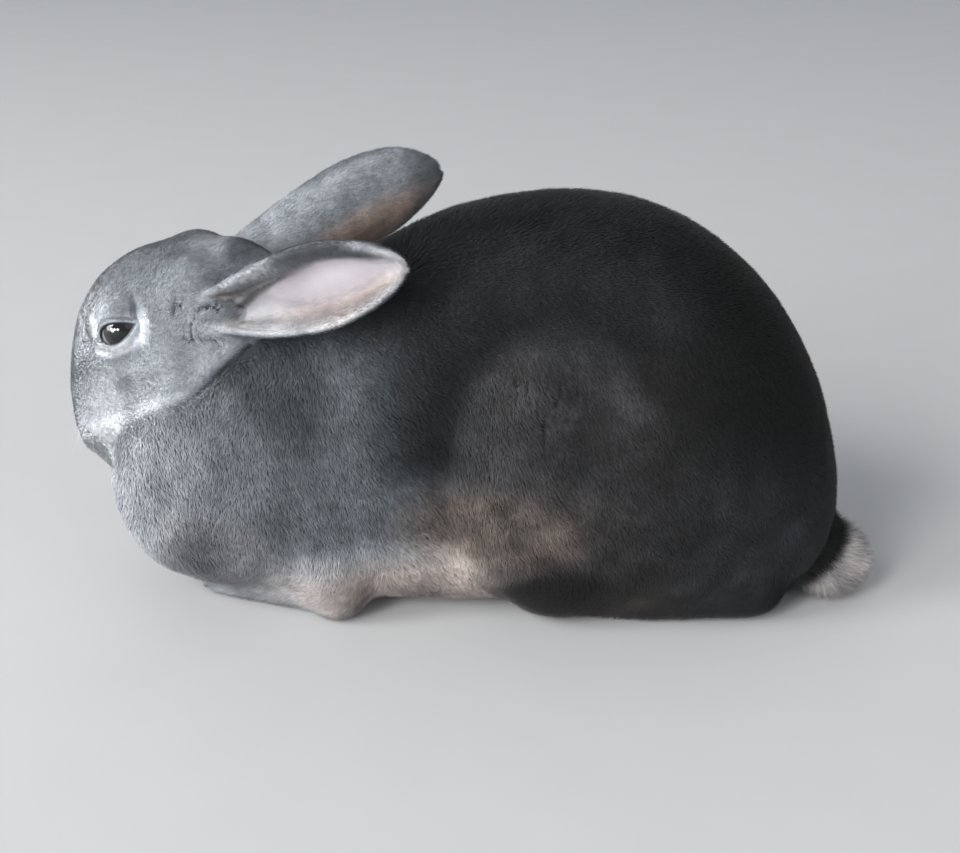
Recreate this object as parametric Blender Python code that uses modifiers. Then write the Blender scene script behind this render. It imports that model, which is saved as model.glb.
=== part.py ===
"""A small velvet-coated rabbit, crouched flat on a floor with its chin drawn in and its ears laid back.

The whole body is modelled as one clay from lofts and ellipsoids, which are fused, smoothed and made flat
where they meet the floor. Thin cuts then part it into head, neck, trunk, legs and tail. The eyes and the
ears are shapes of their own. The rabbit faces -X, its left side is -Y and the floor is Z = 0.
Sizes in the tables are in millimetres and include the coat.
"""

import math

import bmesh
import bpy
import numpy as np
from mathutils import Matrix, Vector

MM = 0.001
GAP = 0.3 * MM  # the thin cut between two pieces
LEFT, RIGHT = -1, 1

# Coarseness of the clay, and how many triangles it keeps.
VOXEL = 2.0 * MM
SMOOTH_PASSES = 7
CLAY_TRIANGLES = 3000
REGION_VOXEL = 4.0 * MM
REGION_TRIANGLES = 120
REGION_MARGIN = 1.5 * MM
OUTWARD = (0, 12, 24)  # millimetres by which a leg's region is repeated sideways
MIDLINE = 0.6 * MM  # how far a leg's region stays off the body's middle

# The trunk: where each section stands, its underside, its crest and half its width, from chest to rump.
TRUNK = (
    (-82.5, 36, 50, 8),
    (-78, 22, 64, 19.5),
    (-69, 10, 76, 28),
    (-50, 3, 88, 33),
    (-28, 0, 98, 36),
    (-4, -2, 108.5, 37),
    (20, -3, 120.5, 39),
    (44, -3, 126.3, 41),
    (66, -3, 127, 42),
    (88, -3, 121.5, 42),
    (108, -2, 109, 41),
    (124, 0, 92, 38),
    (136, 4, 70, 30),
    (143.5, 12, 45, 16),
)
TRUNK_SQUARENESS = 2.35  # 2 is an ellipse, more is boxier
WIDEST_AT = 0.42  # of a section's height

# The head's own frame: s runs from the nose back along the skull, t towards the forehead.
NOSE = Vector((-95, 0, 54)) * MM
HEAD_PITCH = math.radians(52)  # how steeply the face points down
HEAD_BACK = Vector((math.cos(HEAD_PITCH), 0, math.sin(HEAD_PITCH)))
HEAD_UP = Vector((-math.sin(HEAD_PITCH), 0, math.cos(HEAD_PITCH)))
HEAD = (
    (-1, -13.5, -8, 4.5),
    (1.5, -16, -4, 8.5),
    (5.5, -18, 0.7, 11.3),
    (10, -19, 5, 12.8),
    (17, -19, 9.6, 14),
    (27, -20.5, 14.6, 16),
    (37, -24, 18, 18.5),
    (47, -26.5, 18.5, 20),
    (58, -26, 15.5, 20),
    (68, -22, 8.5, 18),
    (75, -14, 1, 12),
)
EYE_AT = (43, 5)  # s and t of an eye's middle
EYE_OUT = 12.6 * MM
EYE_RADIUS = 7.2 * MM

EAR_BASE = Vector((-45, -14, 96)) * MM
EAR_TIP = Vector((12, -42, 119)) * MM
FAR_EAR_TIP = Vector((20.5, 40, 124)) * MM
EAR_FACES = Vector((0.16, -0.92, 0.36))  # where the left ear's hollow looks
EAR_HALF_WIDTH = {LEFT: 15.0 * MM, RIGHT: 18.5 * MM}  # along its curve, when laid flat
EAR_WIDEST = {LEFT: 0.42, RIGHT: 0.6}  # of its length
EAR_THICKNESS = 2.6 * MM

COLOURS = {
    "coat": (0.12, 0.125, 0.135),
    "ear": (0.33, 0.30, 0.30),
    "eye": (0.03, 0.022, 0.02),
}


def material(name, roughness):
    made = bpy.data.materials.new(name)
    made.use_nodes = True
    shader = made.node_tree.nodes["Principled BSDF"]
    shader.inputs["Base Color"].default_value = (*COLOURS[name], 1)
    shader.inputs["Roughness"].default_value = roughness
    shader.inputs["Metallic"].default_value = 0
    return made


def add(name, mesh, collection):
    made = bpy.data.objects.new(name, mesh)
    collection.objects.link(made)
    return made


def from_bmesh(name, shape, collection):
    mesh = bpy.data.meshes.new(name)
    shape.to_mesh(mesh)
    shape.free()
    return add(name, mesh, collection)


def apply_modifiers(target):
    """Swaps the object's mesh for the one that its modifiers give."""
    graph = bpy.context.evaluated_depsgraph_get()
    mesh = bpy.data.meshes.new_from_object(target.evaluated_get(graph))
    target.modifiers.clear()
    target.data = mesh
    return target


def ellipsoid(shape, middle, radii, tilt=0.0):
    """Adds an ellipsoid, in millimetres. Tilt turns it about Y, in degrees."""
    place = (
        Matrix.Translation(Vector(middle) * MM)
        @ Matrix.Rotation(math.radians(tilt), 4, "Y")
        @ Matrix.Diagonal((*(Vector(radii) * MM), 1))
    )
    ball = unit_ball().copy()
    ball.transform(place)
    shape.from_mesh(ball, face_normals=False, vertex_normals=False)
    bpy.data.meshes.remove(ball)


def unit_ball():
    """The ball that every ellipsoid is a stretched copy of."""
    if "unit_ball" not in bpy.data.meshes:
        shape = bmesh.new()
        bmesh.ops.create_uvsphere(shape, u_segments=28, v_segments=16, radius=1)
        shape.to_mesh(bpy.data.meshes.new("unit_ball"))
        shape.free()
    return bpy.data.meshes["unit_ball"]


def limb(shape, joints, steps=10):
    """Adds a tapered limb through joints of (x, y, z, radius), in millimetres, as a row of balls."""
    for start, end in zip(joints, joints[1:]):
        for step in range(steps + 1):
            x, y, z, radius = (a + (b - a) * step / steps for a, b in zip(start, end))
            ellipsoid(shape, (x, y, z), (radius, radius, radius))


def smooth_table(table, count):
    """Rows between those of a table, on a smooth curve through them."""
    rows = np.array(table, float)
    along = np.concatenate([[0], np.cumsum(np.hypot(*np.diff(rows[:, :2], axis=0).T))])
    spots = np.linspace(0, along[-1], count)
    slopes = np.gradient(rows, along, axis=0)
    index = np.clip(np.searchsorted(along, spots, side="right") - 1, 0, len(rows) - 2)
    span = (along[index + 1] - along[index])[:, None]
    share = (spots - along[index])[:, None] / span
    start = rows[index] * (1 + 2 * share) * (1 - share) ** 2
    end = rows[index + 1] * share**2 * (3 - 2 * share)
    bends = slopes[index] * share * (1 - share) ** 2 + slopes[index + 1] * share**2 * (share - 1)
    return start + end + bends * span


def loft(shape, table, origin, along, up, squareness, widest_at, rings=40, points=36):
    """Adds a closed body of rounded sections. A row is (place, low, high, half width) in millimetres."""
    across = Vector((0, 1, 0))
    previous = first = None
    for place, low, high, half_width in smooth_table(table, rings):
        middle = low + (high - low) * widest_at
        ring = []
        for k in range(points):
            angle = 2 * math.pi * k / points
            wide, tall = math.cos(angle), math.sin(angle)
            wide = math.copysign(abs(wide) ** (2 / squareness), wide) * half_width
            reach = (high - middle) if tall > 0 else (middle - low)
            tall = middle + math.copysign(abs(tall) ** (2 / squareness), tall) * reach
            ring.append(shape.verts.new(origin + (along * place + across * wide + up * tall) * MM))
        if previous:
            for k in range(points):
                corners = (previous[k - 1], previous[k], ring[k], ring[k - 1])
                shape.faces.new(corners)
        first = first or ring
        previous = ring
    shape.faces.new(first)
    shape.faces.new(list(reversed(previous)))


def trunk_form(shape):
    loft(shape, TRUNK, Vector(), Vector((1, 0, 0)), Vector((0, 0, 1)), TRUNK_SQUARENESS, WIDEST_AT)


def head_point(s, t, y=0.0):
    return NOSE + (HEAD_BACK * s + HEAD_UP * t) * MM + Vector((0, y, 0)) * MM


def head_ellipsoid(shape, s, t, y, radii):
    """Adds an ellipsoid whose radii run along the skull, across it and up through the forehead."""
    middle = head_point(s, t, y) / MM
    ellipsoid(shape, middle, radii, tilt=-math.degrees(HEAD_PITCH))


def head_form(shape):
    loft(shape, HEAD, NOSE, HEAD_BACK, HEAD_UP, 2.15, 0.5)
    for side in (LEFT, RIGHT):
        head_ellipsoid(shape, 50, -10, side * 11.5, (20, 11.5, 15))  # cheek
        head_ellipsoid(shape, 8.5, -6.5, side * 6.8, (8, 6, 7))  # whisker pad
        head_ellipsoid(shape, 45, 8, side * 13, (12, 6.5, 7.5))  # brow over the eye
        head_ellipsoid(shape, 66, -3, side * 12.5, (10, 8, 10.5))  # root of the ear
    ellipsoid(shape, (-41, 0, 102), (15, 11.8, 13), tilt=6)  # nape between the ears
    ellipsoid(shape, (-54, 0, 101.5), (18, 12.5, 13), tilt=-8)  # crown


def neck_form(shape):
    ellipsoid(shape, (-34, 0, 80), (30, 27, 27), tilt=10)
    ellipsoid(shape, (-50, 0, 66), (26, 27, 24), tilt=-20)


def neck_region(shape):
    ellipsoid(shape, (-44, 0, 74), (33, 44, 42), tilt=-25)


def outwards(make, side):
    """The same forms again and again further out, so that their cutter meets the skin squarely."""

    def make_row(shape):
        for step in OUTWARD:
            row = bmesh.new()
            make(row, side)
            bmesh.ops.translate(row, verts=row.verts, vec=(0, side * step * MM, 0))
            mesh = bpy.data.meshes.new("row")
            row.to_mesh(mesh)
            row.free()
            shape.from_mesh(mesh)
            bpy.data.meshes.remove(mesh)

    return make_row


def fore_leg_form(shape, side):
    ellipsoid(shape, (-26, side * 25, 50), (25, 13.5, 38), tilt=14)  # shoulder and upper arm
    limb(shape, ((-12, side * 26, 22, 13), (-12, side * 24, 10, 11.5)))  # elbow
    limb(shape, ((-12, side * 22, 9, 10), (-30, side * 16, 6.5, 8.5), (-50, side * 9, 5, 7.5)))


def hind_leg_form(shape, side):
    ellipsoid(shape, (82, side * 22, 48), (54, 26.5, 48), tilt=6)  # thigh
    ellipsoid(shape, (53, side * 29, 47), (30, 18, 46), tilt=-8)  # knee
    limb(shape, ((116, side * 25, 11, 12), (84, side * 26, 9, 10.5), (50, side * 22, 8, 9.5)))


def tail_form(shape):
    ellipsoid(shape, (143, -13, 11.5), (13.5, 12.5, 13.5), tilt=30)


def clay_form(shape):
    """The whole body, all parts together."""
    for make in (head_form, neck_form, trunk_form, tail_form):
        make(shape)
    for side in (LEFT, RIGHT):
        fore_leg_form(shape, side)
        hind_leg_form(shape, side)


def regions():
    """What each piece's cutter is made of, in the order in which the pieces are parted off."""
    found = {"head": head_form, "tail": tail_form}
    for name, make in (("hind_leg", hind_leg_form), ("fore_leg", fore_leg_form)):
        found[f"{name}_left"] = outwards(make, LEFT)
        found[f"{name}_right"] = outwards(make, RIGHT)
    found["neck"] = neck_region
    return found


def fused(name, make, voxel, collection, swell=0.0):
    """One closed skin round everything that a form adds."""
    shape = bmesh.new()
    make(shape)
    bmesh.ops.recalc_face_normals(shape, faces=shape.faces)
    made = from_bmesh(name, shape, collection)
    remesh = made.modifiers.new("fuse", "REMESH")
    remesh.mode = "VOXEL"
    remesh.voxel_size = voxel
    smooth = made.modifiers.new("smooth", "SMOOTH")
    smooth.iterations = SMOOTH_PASSES
    smooth.factor = 0.5
    if swell:
        grow = made.modifiers.new("swell", "DISPLACE")
        grow.mid_level = 0
        grow.strength = swell
    return apply_modifiers(made)


def cut_flat(target, place, outward):
    """Takes off what lies outward of a plane through a place, and closes the cut with a flat face."""
    shape = bmesh.new()
    shape.from_mesh(target.data)
    geometry = shape.verts[:] + shape.edges[:] + shape.faces[:]
    cut = bmesh.ops.bisect_plane(
        shape,
        geom=geometry,
        plane_co=place,
        plane_no=outward,
        clear_outer=True,
    )
    edges = [e for e in cut["geom_cut"] if isinstance(e, bmesh.types.BMEdge)]
    bmesh.ops.holes_fill(shape, edges=edges)
    bmesh.ops.triangulate(shape, faces=shape.faces[:])
    shape.to_mesh(target.data)
    shape.free()


def thin_out(target, triangles):
    """Fewer triangles, on the same shape."""
    decimate = target.modifiers.new("thin", "DECIMATE")
    target.data.calc_loop_triangles()
    decimate.ratio = triangles / len(target.data.loop_triangles)
    return apply_modifiers(target)


def boolean(target, other, operation):
    modifier = target.modifiers.new(operation.lower(), "BOOLEAN")
    modifier.operation = operation
    modifier.object = other
    return apply_modifiers(target)


def largest_only(target):
    """Drops crumbs that a cut leaves beside the piece."""
    shape = bmesh.new()
    shape.from_mesh(target.data)
    left, groups = set(shape.verts), []
    while left:
        todo = [left.pop()]
        group = set(todo)
        while todo:
            for edge in todo.pop().link_edges:
                for vertex in edge.verts:
                    if vertex in left:
                        left.discard(vertex)
                        group.add(vertex)
                        todo.append(vertex)
        groups.append(group)
    groups.sort(key=len)
    for group in groups[:-1]:
        bmesh.ops.delete(shape, geom=list(group), context="VERTS")
    shape.to_mesh(target.data)
    shape.free()


def part_off(clay, name, cutter, wide_cutter, collection):
    """Takes the piece inside a cutter out of the clay, and leaves a gap round it."""
    piece = add(name, clay.data.copy(), collection)
    boolean(piece, cutter, "INTERSECT")
    boolean(clay, wide_cutter, "DIFFERENCE")
    largest_only(piece)
    largest_only(clay)
    return piece


def ear_surface(side, collection):
    """The ear's open sheet: a leaf that is rolled into a funnel at its root and opens towards the tip."""
    rows, columns = 12, 8
    tip = EAR_TIP if side == LEFT else FAR_EAR_TIP
    base = Vector((EAR_BASE.x, EAR_BASE.y * -side, EAR_BASE.z))
    axis = (tip - base).normalized()
    facing = Vector((EAR_FACES.x, EAR_FACES.y * -side, EAR_FACES.z))
    facing = (facing - axis * facing.dot(axis)).normalized()
    across = axis.cross(facing)
    length = (tip - base).length
    shape = bmesh.new()
    bmesh.ops.create_grid(shape, x_segments=columns, y_segments=rows, size=1)
    for vertex in shape.verts:
        v, u = vertex.co.x, math.sin(math.pi * (vertex.co.y + 1) / 4)
        beyond = max(0.0, u - EAR_WIDEST[side]) / (1 - EAR_WIDEST[side])
        leaf = math.sqrt(max(0.0, 1 - beyond**2))
        leaf *= 0.66 + 0.34 * math.sin(math.pi * min(u / EAR_WIDEST[side], 1) / 2)
        half = EAR_HALF_WIDTH[side] * max(leaf, 0.03)
        roll = math.radians(138 - 88 * min(1, u / 0.62) ** 0.8)
        radius = half / roll
        spine = length * u - 2.5 * MM * v * v * (1 - u)
        vertex.co = (
            base
            + axis * spine
            + across * (radius * math.sin(roll * v))
            + facing * (radius * (1 - math.cos(roll * v)) - 3.0 * MM * math.sin(math.pi * u))
        )
    bmesh.ops.recalc_face_normals(shape, faces=shape.faces)
    return from_bmesh("ear", shape, collection)


def ear(name, side, body_cutter, collection):
    made = ear_surface(side, collection)
    made.name = name
    wall = made.modifiers.new("wall", "SOLIDIFY")
    wall.thickness = EAR_THICKNESS
    wall.offset = 0
    wall.use_even_offset = True
    apply_modifiers(made)
    boolean(made, body_cutter, "DIFFERENCE")
    largest_only(made)
    return made


def eye(name, side, collection, radius):
    shape = bmesh.new()
    middle = head_point(*EYE_AT) + Vector((0, side * EYE_OUT, 0))
    place = Matrix.Translation(middle) @ Matrix.Rotation(math.pi / 2, 4, "X")
    bmesh.ops.create_uvsphere(shape, u_segments=16, v_segments=9, radius=radius, matrix=place)
    return from_bmesh(name, shape, collection)


def swollen(source, by, collection):
    """A copy that stands off the source by a small distance, for use as a cutter."""
    made = add(f"{source.name}_cutter", source.data.copy(), collection)
    grow = made.modifiers.new("swell", "DISPLACE")
    grow.mid_level = 0
    grow.strength = by
    apply_modifiers(made)
    made.hide_render = True
    made.display_type = "WIRE"
    return made


def shift_to_origin(pieces):
    """Puts the middle of the underside of the box round all the pieces at the origin."""
    points = np.array([v.co for piece in pieces for v in piece.data.vertices])
    low, high = points.min(axis=0), points.max(axis=0)
    offset = Vector(((low[0] + high[0]) / 2, (low[1] + high[1]) / 2, low[2]))
    for piece in pieces:
        piece.data.transform(Matrix.Translation(-offset))


def main():
    for old in list(bpy.data.objects):
        bpy.data.objects.remove(old)
    rabbit = bpy.data.collections.new("rabbit")
    cutters = bpy.data.collections.new("cutters")
    cutters.hide_render = True
    for collection in (rabbit, cutters):
        bpy.context.scene.collection.children.link(collection)

    clay = fused("trunk", clay_form, VOXEL, rabbit)
    thin_out(clay, CLAY_TRIANGLES)
    body_cutter = swollen(clay, GAP, cutters)
    cut_flat(clay, (0, 0, 0), (0, 0, -1))

    pieces = []
    for name, make in regions().items():
        cutter = fused(f"{name}_region", make, REGION_VOXEL, cutters, swell=REGION_MARGIN)
        thin_out(cutter, REGION_TRIANGLES)
        side = LEFT if name.endswith("left") else RIGHT
        if "leg" in name:
            cut_flat(cutter, (0, side * MIDLINE, 0), (0, -side, 0))
        wide = swollen(cutter, GAP, cutters)
        pieces.append(part_off(clay, name, cutter, wide, rabbit))
    pieces.append(clay)
    head = pieces[0]

    for side, name in ((LEFT, "left"), (RIGHT, "right")):
        pieces.append(ear(f"ear_{name}", side, body_cutter, rabbit))
        socket = eye(f"socket_{name}", side, cutters, EYE_RADIUS + GAP)
        socket.hide_render = True
        boolean(head, socket, "DIFFERENCE")
        largest_only(head)
        pieces.append(eye(f"eye_{name}", side, rabbit, EYE_RADIUS))

    shift_to_origin(pieces)
    finishes = {"coat": material("coat", 0.9), "ear": material("ear", 0.8), "eye": material("eye", 0.1)}
    for piece in pieces:
        kind = piece.name.split("_")[0]
        piece.data.materials.clear()
        piece.data.materials.append(finishes.get(kind, finishes["coat"]))
        piece.data.shade_smooth()
    for cutter in cutters.objects:
        cutter.hide_render = True
        cutter.display_type = "WIRE"


main()
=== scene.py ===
# %% [markdown]
# # A crouched velvet-coated rabbit
#
# The solids of the frame give the rabbit's outline out to the tips of its coat. This lesson puts a living
# surface on them: one skin that lies under the coat, eyelids and nostrils, thousands of small tufts of fur,
# eyes, whiskers and claws, and at last the light. The rabbit faces -X, its left side is -Y, and Z is up.

# %% Load the frame
import math
from contextlib import contextmanager

import bmesh
import bpy
import numpy as np
from mathutils import Matrix, Vector
from mathutils.bvhtree import BVHTree


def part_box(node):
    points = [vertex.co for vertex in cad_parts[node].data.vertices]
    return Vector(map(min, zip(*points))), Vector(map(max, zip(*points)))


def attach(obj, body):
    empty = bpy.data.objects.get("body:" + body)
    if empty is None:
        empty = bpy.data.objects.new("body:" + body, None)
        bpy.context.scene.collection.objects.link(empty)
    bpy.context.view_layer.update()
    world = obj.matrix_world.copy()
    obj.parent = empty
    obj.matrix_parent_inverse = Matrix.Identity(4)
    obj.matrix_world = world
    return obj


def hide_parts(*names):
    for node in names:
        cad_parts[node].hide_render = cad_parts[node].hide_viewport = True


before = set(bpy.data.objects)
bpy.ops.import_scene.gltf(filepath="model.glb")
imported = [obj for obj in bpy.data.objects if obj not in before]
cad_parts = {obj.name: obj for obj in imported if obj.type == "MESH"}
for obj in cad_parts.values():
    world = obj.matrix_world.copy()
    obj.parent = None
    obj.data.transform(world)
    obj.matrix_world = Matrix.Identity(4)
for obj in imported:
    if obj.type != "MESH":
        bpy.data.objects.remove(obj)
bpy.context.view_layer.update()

MM = 0.001
LEFT, RIGHT = -1, 1
print("nodes:", ", ".join(sorted(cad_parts)))

# %% [markdown]
# A rabbit's face is easier to describe along its own axes than along the room's. `s` runs from the nose back
# over the skull, `t` runs up through the forehead, and `y` runs across. The nose is found from the box of the
# head's solid, so the face follows the frame.

# %% The head's own axes
head_low, head_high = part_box("head")
HEAD_PITCH = math.radians(52)
HEAD_BACK = np.array((math.cos(HEAD_PITCH), 0, math.sin(HEAD_PITCH)))
HEAD_UP = np.array((-math.sin(HEAD_PITCH), 0, math.cos(HEAD_PITCH)))
NOSE = np.array((head_low.x - 2.25 * MM, 0, head_low.z + 8.5 * MM))
EYE_RADIUS = 8.2 * MM
EYE_REACH = 13.5 * MM


def head_place(s, t, y):
    """The place in the room, in metres, of a point given in millimetres on the head's axes."""
    return NOSE + (HEAD_BACK * s + HEAD_UP * t + np.array((0, y, 0))) * MM


def on_head(points):
    """The head's s, t and y of points in the room, in millimetres."""
    from_nose = (points - NOSE) / MM
    return from_nose @ HEAD_BACK, from_nose @ HEAD_UP, from_nose[:, 1]


def by_eye(points, side, reach=EYE_REACH):
    """Whether each point is within reach of the middle of the eye on one side."""
    return np.linalg.norm(points - eyes_at[side], axis=1) < reach


eyes_at = {side: head_place(43, 5, 10.8 * side) for side in (LEFT, RIGHT)}
print("nose at", NOSE.round(4), "left eye at", eyes_at[LEFT].round(4))

# %% [markdown]
# Fur changes smoothly over the body, so most of this lesson works with fields: a number or an arrow at each
# point of the skin. A few small functions make them. `rise` goes gently from 0 to 1 and `fall` from 1 to 0,
# `bell` falls from 1 on both sides of 0, and `waves` is a cheap smooth noise, a sum of a few waves that run
# in random directions. `painted` lays marks over a field, one after the other.


# %% Helpers for smooth fields
def rise(x, low, high):
    x = np.clip((x - low) / (high - low), 0, 1)
    return x * x * (3 - 2 * x)


def fall(x, low, high):
    return 1 - rise(x, low, high)


def bell(x, width):
    return np.exp(-((x / width) ** 2))


def waves(points, wavelength, seed, count=14):
    """A smooth random value, mostly between -1 and 1, that changes over about one wavelength."""
    dice = np.random.default_rng(seed)
    ways = dice.normal(size=(count, 3))
    ways *= (2 * np.pi / (wavelength * dice.uniform(0.7, 1.6, count) * np.linalg.norm(ways, axis=1)))[:, None]
    heights = np.sin(points @ ways.T + dice.uniform(0, 2 * np.pi, count))
    return heights.sum(1) / math.sqrt(2 * count)


def unit(vectors):
    return vectors / np.maximum(np.linalg.norm(vectors, axis=1, keepdims=True), 1e-12)


def mix(a, b, share):
    share = share if np.ndim(a) < 2 else share[:, None]
    return a + (b - a) * share


def painted(field, *marks):
    """The field with marks laid over it in turn, each a value and its share from 0 to 1."""
    for value, share in marks:
        field = mix(field, value, share)
    return field


# %% [markdown]
# The skin has to be one surface, or a seam would show where head, neck and legs meet. The copies of the solids
# are swollen by a hair's breadth, to close the thin cuts between them, and fused with the Remesh modifier. A
# Smooth modifier then takes out the facets. The ears are thin, so they are rounded on their own with
# Subdivision Surface and fused on in a second, finer pass. A ball of flesh at each ear's root closes the funnel
# there, and the eyeballs are fused in as well, so that there is skin over them to make lids from.

# %% Fuse the solids into one skin
BODY = ("head", "neck", "trunk", "tail", "fore_leg_left", "fore_leg_right", "hind_leg_left", "hind_leg_right")
EARS = ("ear_left", "ear_right")
EYES = ("eye_left", "eye_right")
EAR_ROOT_BALLS = (((-76, 16, 94), (9.5, 8.5, 10)), ((-79, 7.5, 102), (14, 9, 10)))
CROWN = Vector((-78, 0, 108)) * MM
CROWN_REACH = 24 * MM


def put(name, data):
    """A new object in the scene, with this mesh, lamp or camera."""
    made = bpy.data.objects.new(name, data)
    bpy.context.scene.collection.objects.link(made)
    return made


@contextmanager
def editing(mesh):
    """Opens a mesh as a bmesh, and at the end writes the bmesh back into it."""
    shape = bmesh.new()
    shape.from_mesh(mesh)
    yield shape
    shape.to_mesh(mesh)
    shape.free()


def copy_of(name, nodes, swell):
    """One object with the shapes of several nodes, each a little swollen."""
    mesh = bpy.data.meshes.new(name)
    with editing(mesh) as shape:
        for node in nodes:
            shape.from_mesh(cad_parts[node].data)
        bmesh.ops.remove_doubles(shape, verts=shape.verts, dist=0.01 * MM)
        shape.normal_update()
        for vertex in shape.verts:
            vertex.co += vertex.normal * swell
    return put(name, mesh)


def with_modifiers(target, *steps):
    """Adds modifiers, given as (kind, settings), and swaps the mesh for their result."""
    for kind, settings in steps:
        modifier = target.modifiers.new(kind.lower(), kind)
        for setting, value in settings.items():
            setattr(modifier, setting, value)
    graph = bpy.context.evaluated_depsgraph_get()
    mesh = bpy.data.meshes.new_from_object(target.evaluated_get(graph))
    target.modifiers.clear()
    old, target.data = target.data, mesh
    bpy.data.meshes.remove(old)
    return target


def fused(voxel, passes):
    """The modifiers that fuse what overlaps and smooth the result."""
    return (
        ("REMESH", {"mode": "VOXEL", "voxel_size": voxel, "use_smooth_shade": True}),
        ("SMOOTH", {"iterations": passes, "factor": 0.5}),
    )


skin = copy_of("skin", (*BODY, *EYES), 0.25 * MM)
with editing(skin.data) as shape:
    for side in (LEFT, RIGHT):
        for (x, y, z), radii in EAR_ROOT_BALLS:
            place = Matrix.Translation(Vector((x, y * side, z)) * MM)
            ball = place @ Matrix.Diagonal((*(Vector(radii) * MM), 1))
            bmesh.ops.create_uvsphere(shape, u_segments=32, v_segments=20, radius=1, matrix=ball)
with_modifiers(skin, *fused(1.2 * MM, 12))
crown = skin.vertex_groups.new(name="crown")
for vertex in skin.data.vertices:
    away = (vertex.co - CROWN).length
    if away < CROWN_REACH:
        crown.add([vertex.index], min(1, 3 - 3 * away / CROWN_REACH), "REPLACE")
with_modifiers(skin, ("SMOOTH", {"iterations": 60, "factor": 0.5, "vertex_group": "crown"}))
skin.vertex_groups.clear()
ears = with_modifiers(copy_of("ears", EARS, 0.45 * MM), ("SUBSURF", {"levels": 2, "render_levels": 2}))
with editing(skin.data) as shape:
    shape.from_mesh(ears.data)
bpy.data.objects.remove(ears)
with_modifiers(skin, *fused(0.95 * MM, 4))
print("fused skin:", len(skin.data.vertices), "points")


# %% [markdown]
# The coat stands on the skin, so the skin lies inside the solids by the coat's depth: 1.3 mm on the body, a
# little over half a millimetre on head and ears, and 3.2 mm on the tail, where the hair is long and loose. How
# near a point is to a part comes from a BVH tree, Blender's quick way to find the closest spot on a mesh. The
# head is different: it ends where the jaw rests on the chest, at a line given on the head's own axes.


# %% Read the mesh as arrays, and find how near each point is to each part
def read(items, attribute, width, kind=np.float32):
    """One attribute of a mesh's points, edges or corners, as an array with a row for each."""
    flat = np.empty(len(items) * width, kind)
    items.foreach_get(attribute, flat)
    return flat.reshape(-1, width)


def points_of(mesh):
    return read(mesh.vertices, "co", 3).astype(float)


def normals_of(mesh):
    return read(mesh.vertex_normals, "vector", 3).astype(float)


def move_points(mesh, points):
    mesh.vertices.foreach_set("co", points.astype(np.float32).ravel())
    mesh.update()


def tree_of(nodes):
    corners, faces = [], []
    for node in nodes:
        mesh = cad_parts[node].data
        faces += [[i + len(corners) for i in face.vertices] for face in mesh.polygons]
        corners += [v.co.copy() for v in mesh.vertices]
    return BVHTree.FromPolygons(corners, faces)


PART_NODES = {
    "ear": EARS,
    "tail": ("tail",),
    "fore": ("fore_leg_left", "fore_leg_right"),
    "hind": ("hind_leg_left", "hind_leg_right"),
}
trees = {part: tree_of(nodes) for part, nodes in PART_NODES.items()}
JAW_LINE = (
    (-4, -17.5), (5.5, -16.5), (8.8, -12.8), (13, -11.6), (20, -12.8),
    (27.4, -14.8), (34.6, -18.1), (40, -21.1),
    (44, -22.6), (49, -23.7), (56, -24.9), (65.4, -26.5), (75, -28), (95, -30),
)


def above_jaw(points):
    """How far a point is above the jaw's lower edge, in millimetres along the head's t axis."""
    s, t, _ = on_head(points)
    return t - np.interp(s, *zip(*JAW_LINE))


def nearness(points, part):
    """1 on a part, falling to 0 at a distance from it. The tail's skin lies deeper in its solid."""
    start, end = {"ear": (0.5, 2.5), "tail": (3.8, 7)}.get(part, (0.5, 5))
    find = trees[part].find_nearest
    away = np.array([find(Vector(p), 0.02)[3] or 0.02 for p in points])
    return 1 - rise(away, start * MM, end * MM)


def reach_of(points):
    near = {part: nearness(points, part) for part in trees}
    near["head"] = rise(above_jaw(points), -0.8, 0.8) * fall(on_head(points)[0], 80, 92)
    return near


def on_feet(points, near):
    return fall(points[:, 2], 8 * MM, 22 * MM) * np.maximum(near["fore"], near["hind"])


# %% Sink the skin by the coat's depth
def coat_depth(points, near):
    """How thick the coat is at each point, in metres."""
    muzzle = near["head"] * fall(on_head(points)[0], 6, 24)
    marks = ((3.2, near["tail"]), (0.7, near["head"]), (0.6, muzzle), (0.6, near["ear"]))
    return painted(np.full(len(points), 1.3), (1.1, on_feet(points, near)), *marks) * MM


spots = points_of(skin.data)
spots -= normals_of(skin.data) * coat_depth(spots, reach_of(spots))[:, None]
move_points(skin.data, spots)
print("skin sunk under the coat")

# %% [markdown]
# Fine detail is only needed on the face and the ears. Decimate thins out the body, where a coat will hide the
# skin, with a vertex group that spares the head. The face is then subdivided, once over the whole muzzle and
# brow and again round each eye and the nose, which gives enough points to sculpt with.

# %% Fewer faces on the body, more on the face
near = reach_of(spots)
spared = np.maximum(near["head"] * fall(on_head(spots)[0], 62, 72), near["ear"])
group = skin.vertex_groups.new(name="thin_out")
for level in range(11):
    members = np.flatnonzero(np.round(spared * 10) == level)
    group.add(members.tolist(), 1 - 0.9 * level / 10, "REPLACE")
DECIMATE = {"ratio": 0.42, "vertex_group": "thin_out", "vertex_group_factor": 6}
with_modifiers(skin, ("DECIMATE", DECIMATE))
skin.vertex_groups.clear()


def refine(where):
    """Splits the edges of the skin wherever a test of its points says so."""
    with editing(skin.data) as shape:
        chosen = where(np.array([v.co for v in shape.verts]))
        edges = [e for e in shape.edges if chosen[e.verts[0].index] and chosen[e.verts[1].index]]
        bmesh.ops.subdivide_edges(shape, edges=edges, cuts=1, use_grid_fill=True, smooth=0.6)
        bmesh.ops.triangulate(shape, faces=[f for f in shape.faces if len(f.verts) > 4])


def round_eyes(points, reach):
    return by_eye(points, LEFT, reach) | by_eye(points, RIGHT, reach)


def round_nose(points, reach):
    s, t, y = on_head(points)
    return (s < reach) & (t > -22) & (points[:, 2] > head_low.z - 2 * MM) & (np.abs(y) < 16)


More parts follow.
